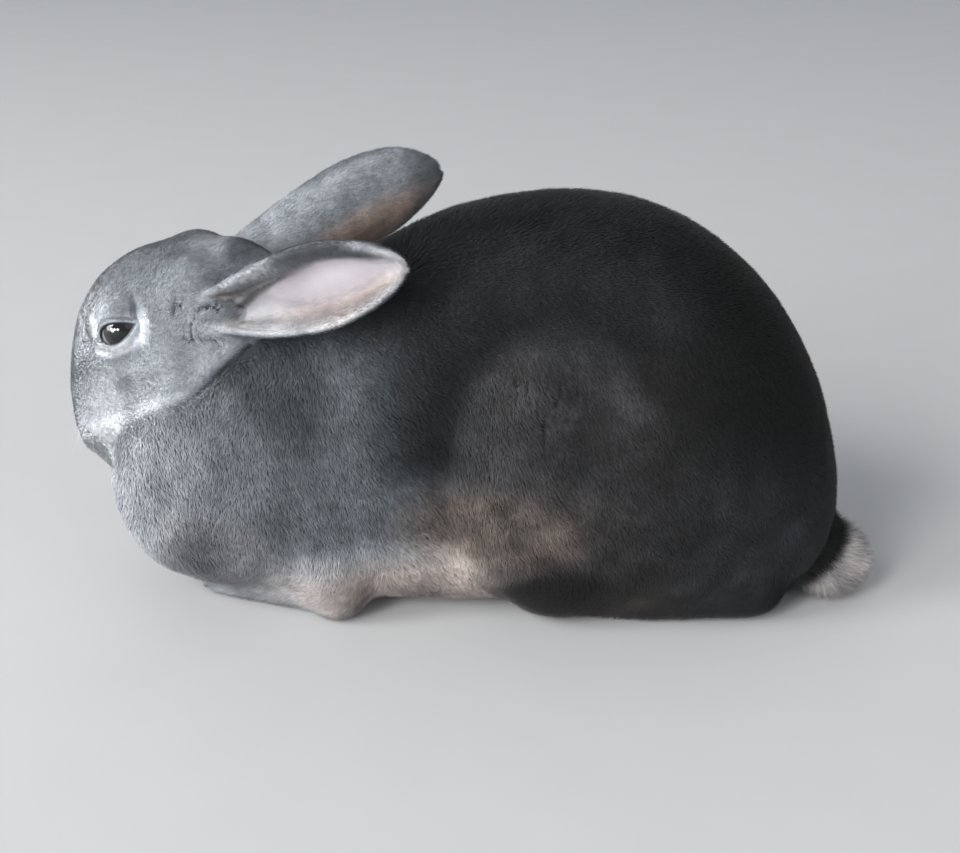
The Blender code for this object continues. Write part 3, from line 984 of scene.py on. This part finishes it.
def add_node(tree, kind, inputs, **settings):
    node = tree.nodes.new("ShaderNode" + kind)
    for name, value in settings.items():
        setattr(node, name, value)
    feed(tree, node, inputs)
    return node


def maths(tree, operation, a, b, clamp=False):
    return add_node(tree, "Math", {0: a, 1: b}, operation=operation, use_clamp=clamp).outputs[0]


def colour_mix(tree, share, a, b, blend="MIX"):
    inputs = {"Factor": share, 6: a, 7: b}
    return add_node(tree, "Mix", inputs, data_type="RGBA", blend_type=blend).outputs[2]


def noise(tree, place, scale, detail=2):
    return add_node(tree, "TexNoise", {"Vector": place, "Scale": scale, "Detail": detail}).outputs[0]


def bumped(tree, height, strength, distance):
    inputs = {"Strength": strength, "Distance": distance, "Height": height}
    return add_node(tree, "Bump", inputs).outputs[0]


def ramped(tree, value, wanted):
    """A value run through a ramp of colours, each with its place from 0 to 1."""
    ramp = add_node(tree, "ValToRGB", {0: value})
    stops = ramp.color_ramp.elements
    while len(stops) < len(wanted):
        stops.new(0.5)
    for stop, (place, colour) in zip(stops, wanted):
        stop.position = place
        stop.color = colour
    return ramp.outputs[0]


def new_material(name):
    """A material, its nodes, its shader and the place of a point in the object."""
    made = bpy.data.materials.new(name)
    made.use_nodes = True
    tree = made.node_tree
    return made, tree, tree.nodes["Principled BSDF"], add_node(tree, "TexCoord", {}).outputs["Object"]


# %% The colour of the coat
COLD = ((0.0, 1.35), (0.3, 1.26), (0.6, 1.16), (1.0, 1.06))
WARM = (1.29, 0.93, 0.73, 1)
PINK = (0.275, 0.251, 0.272, 1)


def grey(tone):
    """The cold grey of a tone. The darker it is, the bluer."""
    light = ((tone + 0.055) / 1.055) ** 2.4
    blue = float(np.interp(tone, *zip(*COLD)))
    return (light * (1 - 0.45 * (blue - 1)), light, light * (1 + 0.55 * (blue - 1)), 1)


def coat_colour_group():
    group = bpy.data.node_groups.new("coat_colour", "ShaderNodeTree")
    for label, kind in (("Coat", "Color"), ("Ticking", "Float"), ("Hair", "Color"), ("Place", "Vector")):
        group.interface.new_socket(label, in_out="INPUT", socket_type="NodeSocket" + kind)
    group.interface.new_socket("Colour", in_out="OUTPUT", socket_type="NodeSocketColor")
    given = group.nodes.new("NodeGroupInput").outputs
    tone, warm, pink = add_node(group, "SeparateColor", {0: given["Coat"]}).outputs
    along, lock, single = add_node(group, "SeparateColor", {0: given["Hair"]}).outputs
    mottle = noise(group, given["Place"], 260, 3)
    shift = maths(group, "MULTIPLY", maths(group, "SUBTRACT", mottle, 0.5), 0.12)
    both = maths(group, "ADD", maths(group, "MULTIPLY", lock, 0.45), maths(group, "MULTIPLY", single, 0.55))
    tick = maths(group, "MULTIPLY", maths(group, "SUBTRACT", both, 0.5), given["Ticking"])
    scaled = maths(group, "MULTIPLY", maths(group, "ADD", tick, shift), maths(group, "ADD", tone, 0.1))
    toned = maths(group, "ADD", tone, scaled, clamp=True)
    greys = [(place, grey(place)) for place in (0.0, 0.08, 0.16, 0.26, 0.38, 0.52, 0.68, 0.84, 1.0)]
    colour = colour_mix(group, warm, ramped(group, toned, greys), WARM, "MULTIPLY")
    lit = maths(group, "ADD", maths(group, "MULTIPLY", tone, 0.8), 0.5)
    colour = colour_mix(group, pink, colour, colour_mix(group, 1.0, lit, PINK, "MULTIPLY"))
    depth = maths(group, "ADD", maths(group, "MULTIPLY", along, 0.16), 0.88)
    colour = colour_mix(group, 1.0, colour, depth, "MULTIPLY")
    feed(group, group.nodes.new("NodeGroupOutput"), {"Colour": colour})
    return group


coat_colour = coat_colour_group()


def coat_material(name, roughness, sheen, bump):
    made, tree, shader, place = new_material(name)
    marks = add_node(tree, "Attribute", {}, attribute_name="coat").outputs
    hair = add_node(tree, "Attribute", {}, attribute_name="hair").outputs
    inputs = {"Coat": marks["Color"], "Ticking": marks["Alpha"], "Hair": hair["Color"], "Place": place}
    colour = add_node(tree, "Group", {}, node_tree=coat_colour)
    feed(tree, colour, inputs)
    grain = noise(tree, place, 1400)
    rough = maths(tree, "ADD", maths(tree, "MULTIPLY", grain, 0.16), roughness - 0.08)
    feed(tree, shader, {"Base Color": colour.outputs[0], "Roughness": rough})
    feed(tree, shader, {"Specular IOR Level": 0.25, "Sheen Weight": sheen, "Sheen Roughness": 0.45})
    if bump:
        feed(tree, shader, {"Normal": bumped(tree, grain, bump, 0.2 * MM)})
    return made


skin.data.materials.clear()
skin.data.materials.append(coat_material("hide", 0.62, 0.05, 0.35))
fur = coat_material("fur", 0.8, 0.07, 0)
for piece in coat:
    piece.data.materials.append(fur)
print("fur and hide made")

# %% [markdown]
# An eye is a ball with a dark brown iris under a clear, wet cornea. It is a sphere with its pole at the front,
# and the cornea's bulge is a smooth rise of the rings near that pole. The pupil's middle lies a little further
# back than the pole. A clear coat on the surface gives the wet shine.


# %% Eyes
def eye_piece(name, side):
    mesh = bpy.data.meshes.new(name)
    out, along, _ = (Vector(way) for way in eye_axes(side))
    turned = Matrix((along, out.cross(along), out)).transposed().to_4x4()
    with editing(mesh) as shape:
        bmesh.ops.create_uvsphere(shape, u_segments=64, v_segments=40, radius=EYE_RADIUS)
        for vertex in shape.verts:
            from_pole = math.acos(max(-1, min(1, vertex.co.z / EYE_RADIUS)))
            vertex.co *= 1 + 0.02 * math.exp(-((from_pole / 0.5) ** 4))
        place = Matrix.Translation(Vector(eyes_at[side])) @ turned
        bmesh.ops.transform(shape, matrix=place, verts=shape.verts)
    mesh.shade_smooth()
    return put(name, mesh)


EYE_RINGS = (
    (0.0, (0.002, 0.002, 0.003, 1)),
    (0.32, (0.003, 0.003, 0.004, 1)),
    (0.38, (0.020, 0.017, 0.016, 1)),
    (0.48, (0.026, 0.022, 0.021, 1)),
    (0.50, (0.006, 0.005, 0.006, 1)),
    (0.54, (0.16, 0.158, 0.165, 1)),
)


def eye_material(name, side):
    """Pupil, iris and white by the distance from the pupil's middle."""
    made, tree, shader, place = new_material(name)
    out, along, _ = eye_axes(side)
    pupil = eyes_at[side] + (out + 0.14 * along) * EYE_RADIUS
    away = add_node(tree, "VectorMath", {0: place, 1: pupil}, operation="DISTANCE").outputs["Value"]
    rings = ramped(tree, maths(tree, "DIVIDE", away, EYE_RADIUS * 1.2), EYE_RINGS)
    flecks = maths(tree, "ADD", maths(tree, "MULTIPLY", noise(tree, place, 1500), 0.5), 0.75)
    feed(tree, shader, {"Base Color": colour_mix(tree, 1.0, rings, flecks, "MULTIPLY"), "Roughness": 0.07})
    feed(tree, shader, {"Specular IOR Level": 0.3, "Coat Weight": 0.55, "Coat Roughness": 0.02})
    return made


for side, name in ((LEFT, "left"), (RIGHT, "right")):
    eye = eye_piece(f"eyeball_{name}", side)
    eye.data.materials.append(eye_material(f"eye_{name}", side))
    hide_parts(f"eye_{name}")
    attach(eye, "root")
print("eyes set")

# %% [markdown]
# Whiskers and claws are small slim shapes that stand on the skin. Both are tapered rods along a bent line. A
# velvet-coated rabbit has short, crinkled whiskers. Most of a claw is hidden in the fur of the toes.


# %% Whiskers and claws
def rods(name, lines, radius, sides):
    """One joined mesh of tapered rods. Each line is an array of points from root to tip."""
    points, faces = [], []
    for line in lines:
        start = len(points)
        ways = unit(np.gradient(line, axis=0))
        for step, (place, way) in enumerate(zip(line, ways)):
            across = np.cross(way, (0.1, 0.2, 1.0))
            across /= np.linalg.norm(across)
            other = np.cross(way, across)
            thick = radius * (1 - 0.9 * (step / (len(line) - 1)) ** 1.5)
            for k in range(sides):
                angle = 2 * math.pi * k / sides
                points.append(place + (across * math.cos(angle) + other * math.sin(angle)) * thick)
        for step in range(len(line) - 1):
            for k in range(sides):
                a, b = start + step * sides + k, start + step * sides + (k + 1) % sides
                faces.append((a, b, b + sides, a + sides))
        last = start + (len(line) - 1) * sides
        faces += [tuple(range(start, start + sides))[::-1], tuple(range(last, last + sides))]
    mesh = bpy.data.meshes.new(name)
    mesh.from_pydata([tuple(p) for p in points], [], faces)
    with editing(mesh) as shape:
        bmesh.ops.recalc_face_normals(shape, faces=shape.faces)
    mesh.shade_smooth()
    return put(name, mesh)


skin_tree = BVHTree.FromPolygons([Vector(p) for p in spots], [tuple(t) for t in corners])
curl = np.random.default_rng(5)
FEET = (
    {"at": (-84, 7, 3.2), "buried": 2.2, "claw": 4.2},
    {"at": (-8, 24, 3.4), "buried": 1.2, "claw": 6.0},
)


def on_skin(place):
    """The nearest spot of the skin to a place, and the skin's normal there."""
    return (np.array(v) for v in skin_tree.find_nearest(Vector(place))[:2])


def whisker(side, row, column):
    root, normal = on_skin(head_place(8 + 2.2 * column, 1.5 - 2.4 * row, 12 * side))
    way = normal * 0.8 + HEAD_BACK * (0.25 + 0.1 * column) + np.array((-0.25, side, -0.1 - 0.2 * row))
    way = way / np.linalg.norm(way) + curl.normal(0, 0.12, 3)
    bend = np.array((0.5, 0, -0.3)) + curl.normal(0, 0.25, 3)
    span = curl.uniform(9, 15) * MM
    share = np.linspace(0, 1, 9)[:, None]
    wave = np.sin(share * 9 + curl.uniform(0, 6)) * 0.035 * share
    return root + (way * share + bend * 0.35 * share**2 + wave) * span


def claw(side, foot, toe):
    """A claw of a fore foot or a hind foot, pointing forward and a little down."""
    x, y, z = foot["at"]
    root, normal = on_skin(np.array((x, side * (y + 3.4 * toe), z)) * MM)
    root = root - normal * foot["buried"] * MM
    share = np.linspace(0, 1, 7)[:, None]
    way, droop = np.array((-1.0, 0.04 * side * toe, 0.1)), np.array((0, 0, 0.45))
    line = root + (way * share - droop * share**2) * foot["claw"] * MM
    line[:, 2] = np.maximum(line[:, 2], 1.1 * MM)
    return line


def plain_material(name, colour, roughness, contrast=0.3, grain=900):
    made, tree, shader, place = new_material(name)
    streaks = noise(tree, place, grain)
    darker = (*(part * (1 - contrast) for part in colour), 1)
    feed(tree, shader, {"Base Color": colour_mix(tree, streaks, darker, (*colour, 1)), "Roughness": roughness})
    feed(tree, shader, {"Normal": bumped(tree, streaks, contrast, 0.1 * MM)})
    return made


sides = (LEFT, RIGHT)
whisker_lines = [whisker(side, row, column) for side in sides for row in range(3) for column in range(4)]
whiskers = rods("whiskers", whisker_lines, 0.07 * MM, 4)
whiskers.data.materials.append(plain_material("whisker", (0.75, 0.75, 0.78), 0.35))
claw_lines = [claw(side, foot, toe) for side in sides for foot in FEET for toe in range(4)]
claws = rods("claws", claw_lines, 1.0 * MM, 8)
claws.data.materials.append(plain_material("claw", (0.09, 0.075, 0.07), 0.35))
for piece in (whiskers, claws):
    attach(piece, "root")
print(len(whisker_lines), "whiskers and", len(claw_lines), "claws")

# %% Skin and coat take their places
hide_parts(*BODY, *EARS)
for piece in (skin, *coat):
    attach(piece, "root")

# %% [markdown]
# The light is a studio's: a tall window of four panes at the upper left in front, a weaker lamp low on that
# side and a soft one from the right. Four small lamps make the sparks in the eye, and light nothing else
# that is dull. The floor is plain and pale.


# %% Floor, light and camera
def area_light(name, place, size, power, colour=(1, 1, 1)):
    """A round lamp that points at the middle of the rabbit."""
    lamp = bpy.data.lights.new(name, "AREA")
    lamp.shape = "DISK"
    lamp.size = size
    lamp.energy = power
    lamp.color = colour
    made = put(name, lamp)
    made.location = place
    made.rotation_euler = (Vector((-20, 0, 60)) * MM - Vector(place)).to_track_quat("-Z", "Y").to_euler()
    return made


bpy.ops.mesh.primitive_circle_add(vertices=96, radius=3, fill_type="NGON")
floor = bpy.context.object
floor.name = "floor"
floor.data.materials.append(plain_material("floor", (0.50, 0.505, 0.51), 0.8, contrast=0.05, grain=30))

for column in (-1, 1):
    for row in (-1, 1):
        pane = (-1.58 + 0.32 * column, -1.16 - 0.4 * column, 1.38 + 0.4 * row)
        area_light("window_pane", pane, 0.72, 19.5, (1.0, 0.995, 0.99))
for spark in ((-0.53, -0.72, 0.16), (-0.36, -0.80, 0.16), (-0.17, -0.85, 0.16), (-0.47, -0.75, 0.05)):
    area_light("glint", spark, 0.15, 1.8).visible_diffuse = False
area_light("fill", (1.8, -1.6, 1.0), 1.8, 4.8)
area_light("low_front", (-1.5, -1.5, 0.32), 0.9, 22)
world = bpy.data.worlds.new("studio")
bpy.context.scene.world = world
world.use_nodes = True
feed(world.node_tree, world.node_tree.nodes["Background"], {0: (0.93, 0.96, 1.0, 1), 1: 0.55})
bpy.context.scene.view_settings.view_transform = "Standard"

CAMERA_TILT, CAMERA_ROLL, CAMERA_TURN = 25.12, 0.153, 1.296
camera = put("camera", bpy.data.cameras.new("camera"))
camera.data.lens = 50.08
camera.data.sensor_width = 36
camera.data.clip_start = 0.01
camera.location = Vector((-7.90, -378.94, 230.10)) * MM
camera.rotation_euler = (
    Matrix.Rotation(math.radians(-CAMERA_TURN), 3, "Z")
    @ Matrix.Rotation(math.radians(90 - CAMERA_TILT), 3, "X")
    @ Matrix.Rotation(math.radians(CAMERA_ROLL), 3, "Z")
).to_euler()
bpy.context.scene.camera = camera
